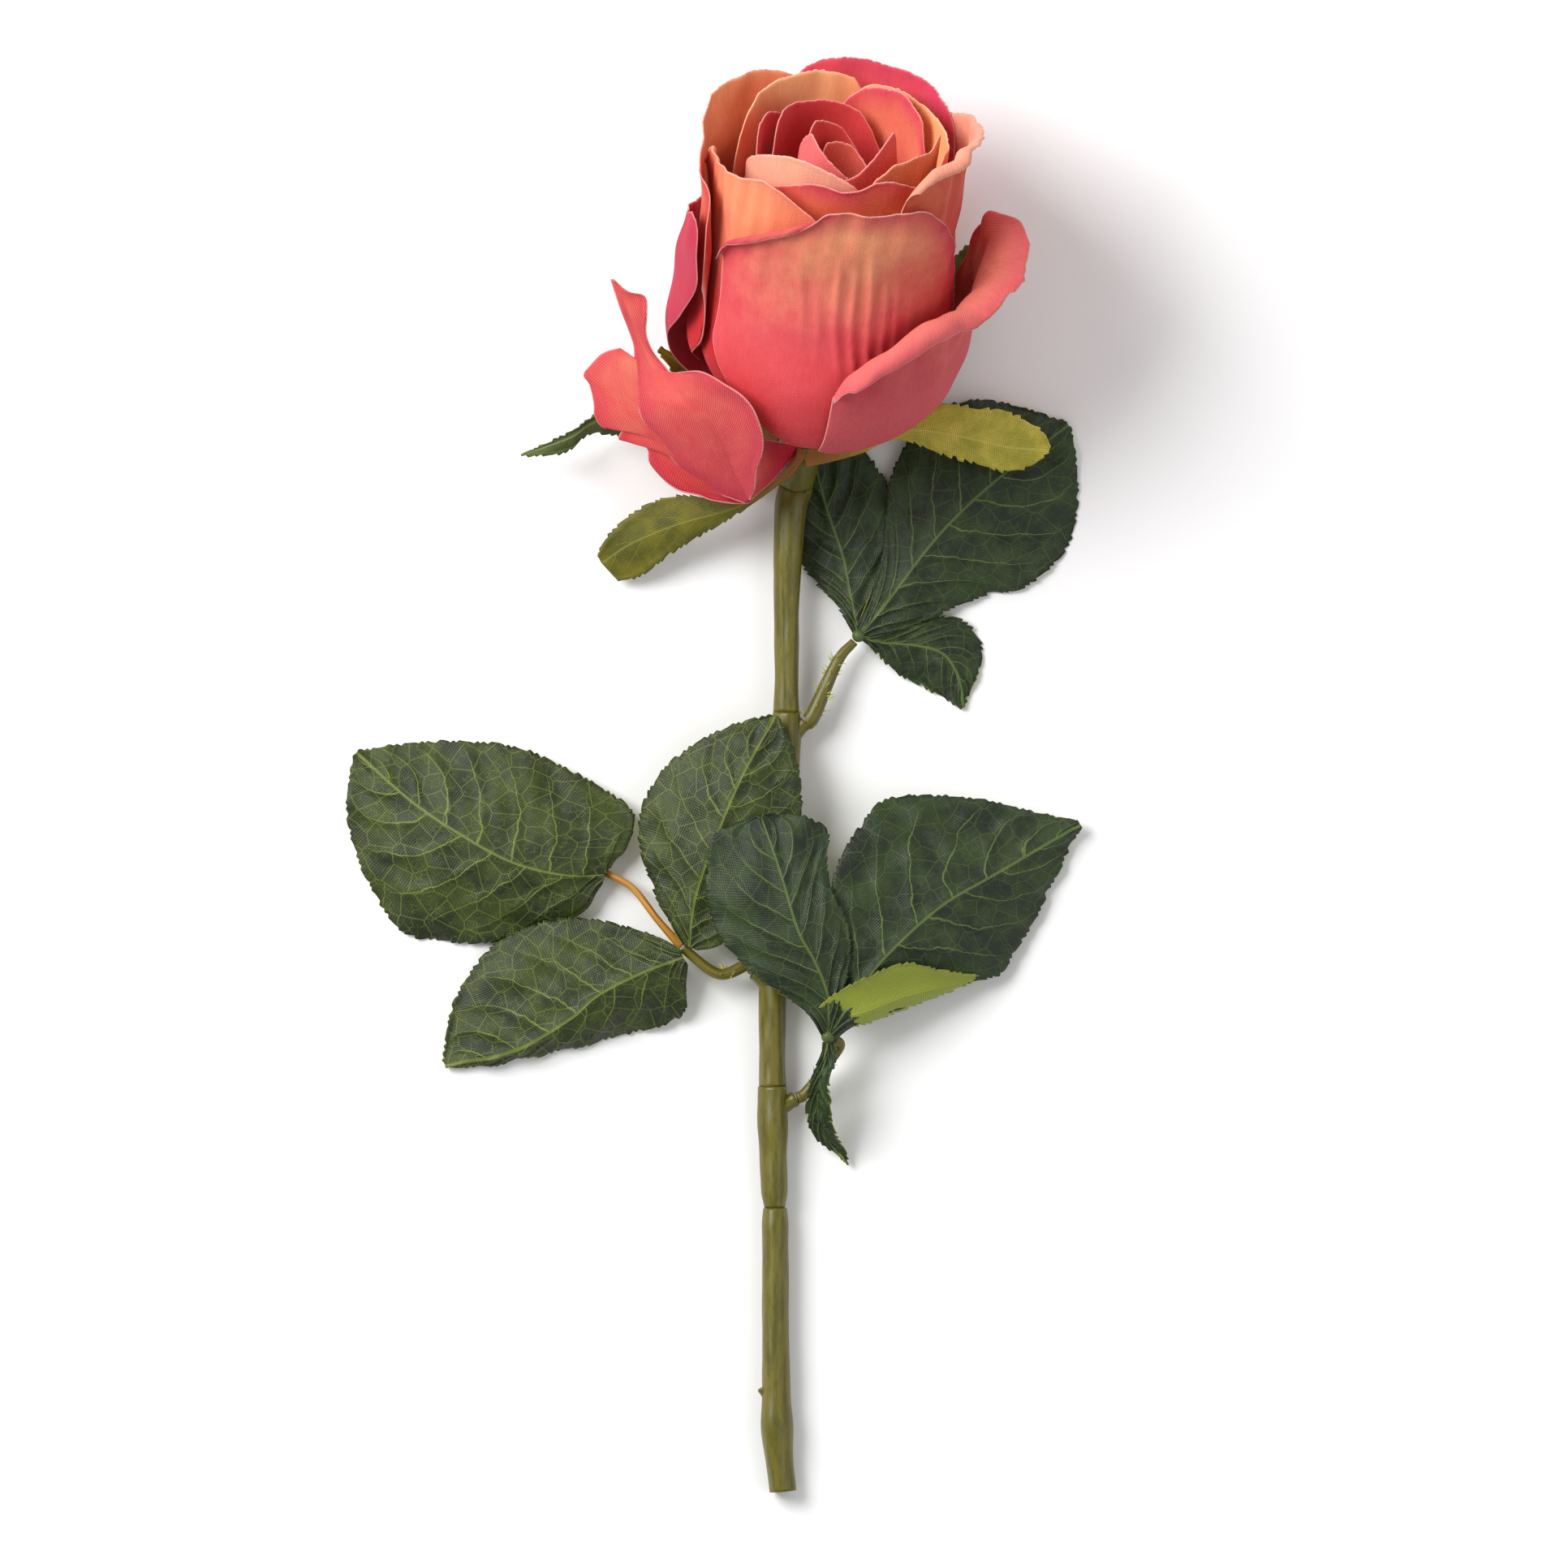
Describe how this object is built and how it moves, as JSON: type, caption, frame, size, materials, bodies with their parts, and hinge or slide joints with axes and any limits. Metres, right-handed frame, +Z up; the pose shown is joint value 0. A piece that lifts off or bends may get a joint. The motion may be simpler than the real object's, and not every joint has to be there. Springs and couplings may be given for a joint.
{
  "type": "artificial cut rose",
  "caption": "Artificial long-stem rose lying down: layered coral fabric bloom, fabric sepals and serrated leaves on a jointed, wire-cored plastic stem.",
  "frame": {"origin": "middle of the footprint, on the surface the rose lies on", "axes": "+Y along the stem towards the bloom, +Z up from the surface, +X to the right of the bloom seen from above"},
  "size_m": [0.1808, 0.3532, 0.0903],
  "materials": {
    "petal_coral": "matte twill",
    "petal_deep_coral": "matte twill",
    "petal_peach": "matte twill",
    "core_plastic": "matte",
    "stem_plastic": "satin",
    "petiole_orange": "satin",
    "sepal_fabric": "matte",
    "leaf_fabric": "matte, printed veins",
    "wire_steel": "drawn wire"
  },
  "bodies": {
    "root": {"hip": "stem_plastic", "bloom_core": "core_plastic", "petal_front": "petal_coral", "petal_right_outer": "petal_coral", "petal_left_outer": "petal_deep_coral", "petal_back_outer": "petal_deep_coral", "petal_right": "petal_coral", "petal_back": "petal_coral", "petal_left_back": "petal_peach", "petal_front_left": "petal_peach", "petal_inner_back": "petal_peach", "petal_inner_front": "petal_deep_coral", "petal_inner_right": "petal_peach", "petal_pale_front": "petal_peach", "petal_peak_right": "petal_peach", "petal_nested_left": "petal_deep_coral", "petal_nested_back": "petal_coral", "petal_heart_back": "petal_deep_coral", "petal_heart_front": "petal_coral", "petal_bud_front": "petal_coral", "petal_bud_back": "petal_deep_coral", "petal_bud_right": "petal_coral", "petal_bud_heart": "petal_coral", "petal_reflexed_left": "petal_coral", "sepal_left": "sepal_fabric", "sepal_right": "sepal_fabric", "sepal_far_left": "sepal_fabric", "sepal_under_right": "sepal_fabric", "sepal_under_left": "sepal_fabric", "stem_neck": "stem_plastic", "stem_upper": "stem_plastic", "stem_middle": "stem_plastic", "stem_lower": "stem_plastic", "stem_wire": "wire_steel", "petiole_upper": "stem_plastic", "petiole_left": "stem_plastic", "petiole_right": "stem_plastic", "petiole_left_end": "petiole_orange", "leaf_upper": "leaf_fabric", "leaf_left_end": "leaf_fabric", "leaf_left_low": "leaf_fabric", "leaf_left_high": "leaf_fabric", "leaf_right": "leaf_fabric"}
  },
  "joints": []
}
